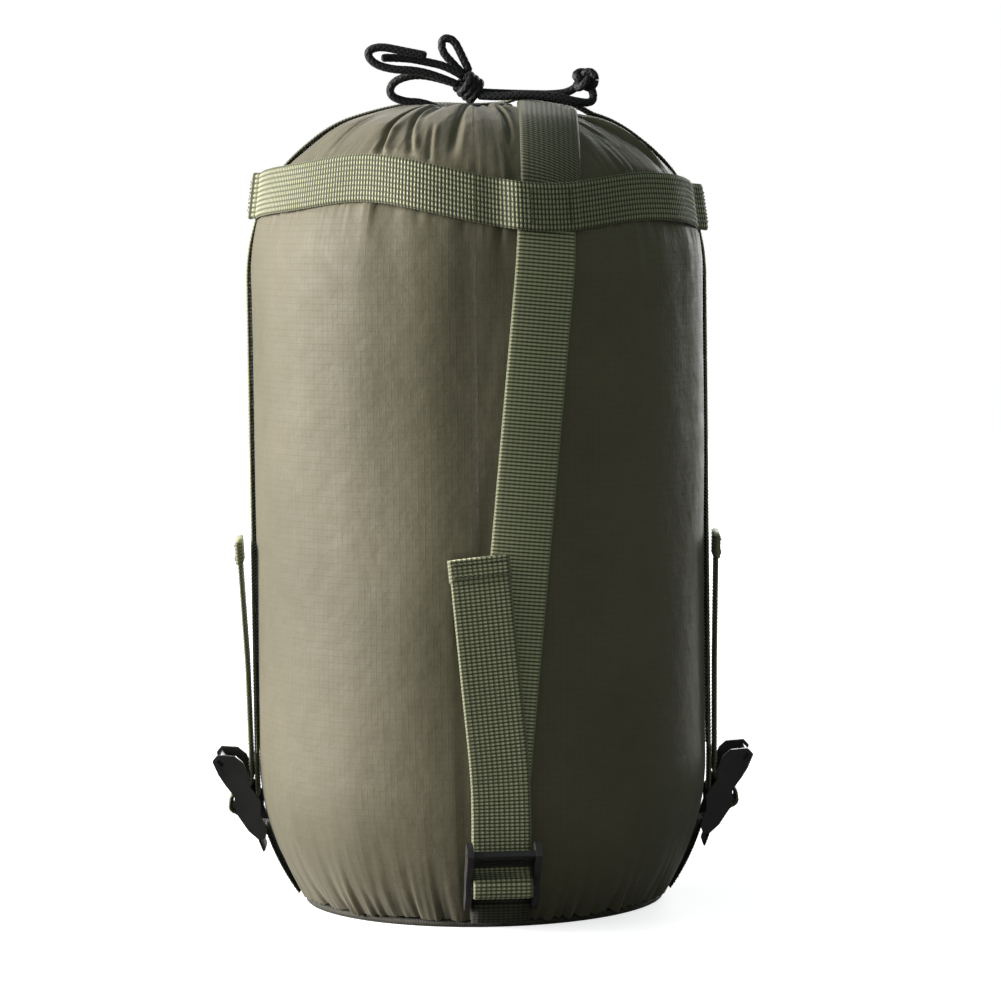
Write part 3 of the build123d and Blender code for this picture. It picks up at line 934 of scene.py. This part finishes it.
def wall_place(side, low_z):
    """place() for a load strap that slants over the wall from its buckle to the band."""
    slant = atan2(side["strap_t"], STRAP_CUT_Z - EXIT_Z)
    middle = radians(side["azimuth"])

    def place(along, across):
        up = (low_z - EXIT_Z) / cos(slant) + along
        z = EXIT_Z + up * cos(slant) - across * sin(slant)
        turn = asin((up * sin(slant) + across * cos(slant)) / BODY_R)
        r, z, out_r, out_z = at_height(z)
        outward = around(middle + turn, out_r, out_z)
        return around(middle + turn, r, z) + outward * STRAP_LIFT, outward

    return place, slant


def cross_place(fixed, swap, lift_at):
    """place() and length of a strap straight over the dome at x = fixed (y = fixed if swap)."""
    edge_r = at_height(STRAP_CUT_Z)[0]
    reach = sqrt(edge_r ** 2 - fixed ** 2)
    count = 600
    # closer together where the dome is steep
    stops = [reach * sin(pi * (i / count - 0.5)) for i in range(count + 1)]
    lengths = [0.0]
    for a, b in zip(stops, stops[1:]):
        rise = crown(hypot(fixed, b))[0] - crown(hypot(fixed, a))[0]
        lengths.append(lengths[-1] + hypot(b - a, rise))

    def place(along, across):
        k = max(1, min(count, bisect_left(lengths, along)))
        part = (along - lengths[k - 1]) / (lengths[k] - lengths[k - 1])
        y = stops[k - 1] + (stops[k] - stops[k - 1]) * part
        x = fixed - across if swap else fixed + across
        y *= 1 + (sqrt(edge_r ** 2 - x ** 2) / reach - 1) * smooth((abs(y) / reach - 0.85) / 0.15)
        radius = hypot(x, y)
        z, out_r, out_z = crown(radius)
        outward = Vector((x / radius * out_r, y / radius * out_r, out_z))
        point = Vector((x, y, z)) + outward * lift_at(y)
        if swap:
            point, outward = Vector((point.y, point.x, point.z)), Vector((outward.y, outward.x, outward.z))
        return point, outward

    return place, lengths[-1]


def band_place(along, across):
    """The band lies on the shoulder, and steps over each strap: soft on one side, sharp on the other."""
    azimuth = along / BAND_R
    bump, hollow, swell = 0.0, 0.0, 0.0
    for side in SIDES.values():
        gap = turn_between(azimuth, crossing(side)) * BAND_R
        soft = smooth((gap + WEB_W / 2 + 9 * MM) / (9 * MM))
        sharp = smooth((WEB_W / 2 + 2.6 * MM - gap) / (2.6 * MM))
        bump = max(bump, soft * sharp)
        hollow = max(hollow, exp(-((gap + WEB_W / 2 + 12 * MM) / (5 * MM)) ** 2))
        swell = max(swell, exp(-((gap + WEB_W / 2 + 46 * MM) / (21 * MM)) ** 2))
    wave = noise.noise(Vector((sin(azimuth), cos(azimuth), 0)) * 3.1)
    low_z = BAND_Z + band_sag(azimuth)
    share = across / BAND_W + 0.5
    out = 1.2 - 2.6 * share + 3.2 * bump - 0.7 * hollow + 2.4 * swell + 0.3 * wave
    r = at_height(low_z)[0] + out * MM
    return around(azimuth, r, low_z + BAND_W / 2 + across), around(azimuth, 0.992, 0.125)


def harness():
    """Ring band, the two straps that cross on the dome, and the load straps."""
    band = strap("shoulder_band", band_place, 2 * pi * BAND_R, BAND_WEBBING, width=BAND_W, closed=True)
    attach(band, "top")
    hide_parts("ring_band")
    tacks = []
    for side in SIDES.values():
        middle = crossing(side) % (2 * pi) * BAND_R
        for row in rows_across([middle - 9 * MM, middle - 8 * MM, middle + 8 * MM, middle + 9 * MM], 7 * MM):
            tacks += sewn(band_place, row, pitch=1.6 * MM)
    stitching("band_bar_tacks", tacks, "top")
    lap_start = 3.7 * BAND_R

    def lap_place(along, across):
        point, outward = band_place(lap_start + along, across)
        return point + outward * 1.7 * MM, outward

    lap = strap("band_lap", lap_place, 34 * MM, BAND_WEBBING, width=BAND_W - 0.6 * MM)
    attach(lap, "top")
    near, far, half = 3 * MM, 31 * MM, 7 * MM
    box = [(near, -half), (far, -half), (far, half), (near, half), (near, -half), (far, half)]
    stitching("band_lap_stitches", sewn(lap_place, box) + sewn(lap_place, [(far, -half), (near, half)]), "top")
    under, over = STRAP_LIFT, STRAP_LIFT + WEB_T + WEB_GAP

    def over_crossing(y):
        return under + (over - under) * (1 - smooth((abs(y - CROSS_X) - WEB_W / 2) / (9 * MM)))

    for name, fixed, swap, lift in (("front_back", CROSS_X, False, lambda y: under),
                                    ("left_right", CROSS_Y, True, over_crossing)):
        place, length = cross_place(fixed, swap, lift)
        piece = strap("dome_strap_" + name, place, length, DOME_WEBBING_PAINTED_SHADE)
        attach(piece, "top")
        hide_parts("cross_strap_" + name)
    for name, side in SIDES.items():
        for part, low, high in (("upper", STRAP_MID_Z, STRAP_CUT_Z + 2 * MM),
                                ("lower", EXIT_Z, STRAP_MID_Z)):
            place, slant = wall_place(side, low)
            start = (low - EXIT_Z) / cos(slant)
            length = (high - low) / cos(slant)
            piece = strap(f"{name}_load_strap_{part}", place, length, LOAD_WEBBING_PAINTED_LIGHT, start=start)
            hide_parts(f"{name}_strap_{part}")
            if part == "upper":
                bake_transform(piece)
            else:
                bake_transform(piece)


harness()


# ------------------------------------------------------------------ buckles and what they hold
BAR_R = 1.3 * MM
BAR_OFF = WEB_GAP + WEB_T + WEB_GAP + BAR_R       # fabric to the centre of the fixed bar
LOOP_R = BAR_R + WEB_GAP + WEB_T / 2
WRAP_ROUTE = [(2.8, 14.0), (7.6, 6.6), (14.9, 9.3), (14.2, 16.4), (7.0, 17.2), (5.4, 25.0)]
WRAP_RADII = [20.0, 6.0, 2.8, 2.8, 2.6, 2.2, 6.0, 20.0]


def bar_centre(side):
    off = CORNER_R + BAR_OFF
    return (BODY_R - CORNER_R + sqrt(off ** 2 - (CORNER_Z - side["bar_z"]) ** 2), side["bar_z"])


def leaned(point, side):
    """A buckle's point, given in millimetres from its fixed bar, in r and z."""
    angle, (bar_r, bar_z) = radians(side["tilt"]), bar_centre(side)
    out, up = point[0] * MM, point[1] * MM
    return (bar_r + out * cos(angle) + up * sin(angle), bar_z - out * sin(angle) + up * cos(angle))


def rounded(points, radii, step=0.3 * MM):
    """Polyline in r and z whose corners are arcs, as evenly spaced points."""
    points = [Vector((p[0], p[1], 0)) for p in points]
    found = [points[0]]
    for before, corner, after, radius in zip(points, points[1:], points[2:], radii):
        a, b = (before - corner).normalized(), (after - corner).normalized()
        half = a.angle(b) / 2
        cut = min(radius / tan(half), 0.49 * (before - corner).length, 0.49 * (after - corner).length)
        radius = cut * tan(half)
        centre = corner + (a + b).normalized() * radius / sin(half)
        first, last = corner + a * cut - centre, corner + b * cut - centre
        for k in range(13):
            found.append(centre + first.slerp(last, k / 12, first).normalized() * radius)
    found.append(points[-1])
    return resample(found, step)


def path_place(path, azimuth, shift=None, first_moved=0.0):
    """place() for a flat strap along a path of evenly spaced points in r and z.

    shift(z) gives how far it has moved along the tangent at a height, and its slope there. It
    counts from first_moved along the path."""
    lengths = [0.0]
    for a, b in zip(path, path[1:]):
        lengths.append(lengths[-1] + (b - a).length)
    turn = Matrix.Rotation(azimuth, 3, "Z")

    def place(along, across):
        k = max(1, min(len(path) - 1, bisect_left(lengths, along)))
        a, b = path[k - 1], path[k]
        point = a.lerp(b, (along - lengths[k - 1]) / (lengths[k] - lengths[k - 1]))
        ahead = path[min(k + 1, len(path) - 1)] - path[max(k - 2, 0)]
        outward = Vector((0, -ahead.y, -ahead.x)).normalized()
        moved, slope = shift(point.y) if shift and along >= first_moved else (0.0, 0.0)
        local = Vector((across + moved, -point.x, point.y - across * slope))
        return turn @ local, turn @ outward

    return place, lengths[-1]


def tail_shift(side):
    """shift() of a tail that leans along the tangent from where it leaves the buckle."""
    slope = side["tail_t"] / (TAIL_TOP_Z - EXIT_Z)
    low, high = EXIT_Z - 16 * MM, EXIT_Z + 16 * MM

    def shift(z):
        if z < high:
            inside = max(0.0, z - low)
            return slope * inside ** 2 / (2 * (high - low)), slope * inside / (high - low)
        return slope * (z - EXIT_Z), slope

    return shift


def arc(centre, radius, first, last, count=24):
    return [Vector((centre[0] + radius * cos(radians(first + (last - first) * k / count)),
                    centre[1] + radius * sin(radians(first + (last - first) * k / count)), 0))
            for k in range(count + 1)]


def buckle_webbing(name, side):
    """Webbing threaded through the buckle, and the anchor webbing round its fixed bar."""
    guides = [(STRAP_R, EXIT_Z), (STRAP_R - 0.3 * MM, 50 * MM)]
    ends = [(TAIL_R - 0.05 * MM, 60 * MM), (TAIL_R, EXIT_Z)]
    route = guides + [leaned(p, side) for p in WRAP_ROUTE] + ends
    path = rounded(route, [r * MM for r in WRAP_RADII])
    place, wrap_length = path_place(path, radians(side["azimuth"]), tail_shift(side), 40 * MM)
    wrap = strap(f"{name}_buckle_webbing", place, wrap_length, TAIL_WEBBING_PAINTED_LIGHT)
    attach(wrap, f"{name}_buckle_body")
    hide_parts(f"{name}_buckle_wrap")
    bar = bar_centre(side)
    corner = (BODY_R - CORNER_R, CORNER_Z)
    inner = CORNER_R + WEB_GAP + WEB_T / 2
    low = degrees(asin((SEAM_Z + 1.5 * MM - CORNER_Z) / CORNER_R))
    high = degrees(asin((bar[1] - CORNER_Z) / (inner + LOOP_R)))
    path = arc(corner, inner, low, high) + arc(bar, LOOP_R, high + 180, high)[1:]
    path += arc(corner, inner + 2 * LOOP_R, high, high - 4.5, 6)[1:]
    place, length = path_place(resample(path, 0.3 * MM), radians(side["azimuth"]))
    # the anchor webbing wears painted shade: the olive webbing darkened to tone 0.14
    anchor = strap(f"{name}_anchor_webbing_painted_shade", place, length, ANCHOR_WEBBING_PAINTED_SHADE)
    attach(anchor, "base")
    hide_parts(f"{name}_anchor_loop")
    rows = rows_across([3 * MM, 5.5 * MM], 10.5 * MM)
    stitching(f"{name}_anchor_stitches", [s for row in rows for s in sewn(place, row)], "base")
    return wrap_length


def tail(name, side, start):
    """Free end of the strap, whose weave goes on from the buckle's, and its folded hem."""
    azimuth, slope = radians(side["azimuth"]), side["tail_t"] / (TAIL_TOP_Z - EXIT_Z)
    shift = tail_shift(side)
    line = [(TAIL_R, EXIT_Z), (TAIL_R + side["stand"] * 0.25, EXIT_Z + 40 * MM),
            (TAIL_R + side["stand"], TAIL_TOP_Z - HEM_H)]
    place, length = path_place(rounded(line, [300 * MM]), azimuth, shift)
    piece = strap(f"{name}_free_tail", place, length, TAIL_WEBBING_PAINTED_LIGHT, start=start)
    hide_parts(f"{name}_tail")
    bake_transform(piece)
    before, end = Vector((*line[-2], 0)), Vector((*line[-1], 0))
    step = (end - before).normalized()
    hem_path = resample([end - step * 0.2 * MM, end + step * (HEM_H + 0.3 * MM)], 0.4 * MM)
    place, length = path_place(hem_path, azimuth, lambda z: (slope * (z - EXIT_Z), slope))
    hem = strap(f"{name}_tail_fold", place, length, TAIL_WEBBING_PAINTED_LIGHT, width=26 * MM, thickness=3.1 * MM)
    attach(hem, f"{name}_tail_body")
    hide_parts(f"{name}_tail_hem")
    rows = rows_across([1.6 * MM, 2.6 * MM, 7.6 * MM], 11.5 * MM)
    sewn_rows = [s for row in rows for s in sewn(place, row, 1.65 * MM, 2 * MM)]
    stitching(f"{name}_tail_stitches", sewn_rows, f"{name}_tail_body")


def buckles():
    for name, side in SIDES.items():
        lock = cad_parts[f"{name}_buckle"]
        lock.data.materials.clear()
        lock.data.materials.append(PLASTIC)
        wrap_length = buckle_webbing(name, side)
        tail(name, side, wrap_length)
    inner_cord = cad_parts["drawcord_in_casing"]
    inner_cord.data.materials.clear()
    inner_cord.data.materials.append(CORD_CORE)


buckles()


# ------------------------------------------------------------------ floor and light
def floor():
    """Pale paper that throws little light back up."""
    m = Material("floor_paper", Emission_Color=(1, 1, 1, 1), Emission_Strength=0.72)
    fibre = m.noise(m.place(), 3.0, 3.0)
    colour = m.mix(fibre, (0.9, 0.92, 0.96, 1), (0.94, 0.96, 1.0, 1))
    material = m.finish(colour, m.span(fibre, 0, 1, 0.85, 0.95), fibre, 0.02 * MM)
    dim = m.node("BsdfDiffuse", {"Color": (0.2, 0.2, 0.19, 1)})
    seen = m.node("LightPath").outputs["Is Camera Ray"]
    either = m.node("MixShader", {0: seen, 1: dim.outputs[0], 2: m.shader.outputs[0]})
    m.links.new(either.outputs[0], m.nodes["Material Output"].inputs[0])
    half = 3.0
    corners = [(-half, -half, 0), (half, -half, 0), (half, half, 0), (-half, half, 0)]
    plane = mesh_piece("floor", corners, [(0, 1, 2, 3)], material)


def lamp(name, kind, place, target, **settings):
    """Light of a kind at a place, turned to a target."""
    data = bpy.data.lights.new(name, kind)
    for key, value in settings.items():
        setattr(data, key, value)
    holder = bpy.data.objects.new(name, data)
    bpy.context.scene.collection.objects.link(holder)
    place = Vector(place)
    look = (Vector(target) - place).to_track_quat("-Z", "Y").to_matrix().to_4x4()
    holder.matrix_world = Matrix.Translation(place) @ look


def studio():
    """Wide soft key from the left, a rim from behind, a weak fill in front, a pale surround."""
    middle = (0, 0, 0.18)
    lamp("key", "SUN", (-2.0, -0.02, 0.5), middle, energy=10.5, angle=radians(44), color=(1, 0.945, 0.92))
    lamp("rim", "SUN", (0.7, 1.9, 0.33), middle, energy=3.2, angle=radians(40))
    lamp("fill", "AREA", (0.5, -2.4, 0.9), middle, energy=3, shape="DISK", size=1.4)
    world = bpy.data.worlds.new("studio")
    bpy.context.scene.world = world
    world.use_nodes = True
    nodes, links = world.node_tree.nodes, world.node_tree.links
    surround = nodes["Background"]
    surround.inputs["Color"].default_value = (0.86, 1.0, 0.9, 1)
    surround.inputs["Strength"].default_value = 0.17
    seen = nodes.new("ShaderNodeBackground")
    seen.inputs["Color"].default_value = (1, 1, 1, 1)
    path, either = nodes.new("ShaderNodeLightPath"), nodes.new("ShaderNodeMixShader")
    links.new(path.outputs["Is Camera Ray"], either.inputs[0])
    links.new(surround.outputs[0], either.inputs[1])
    links.new(seen.outputs[0], either.inputs[2])
    links.new(either.outputs[0], nodes["World Output"].inputs[0])
    bpy.context.scene.view_settings.view_transform = "Standard"


floor()
studio()
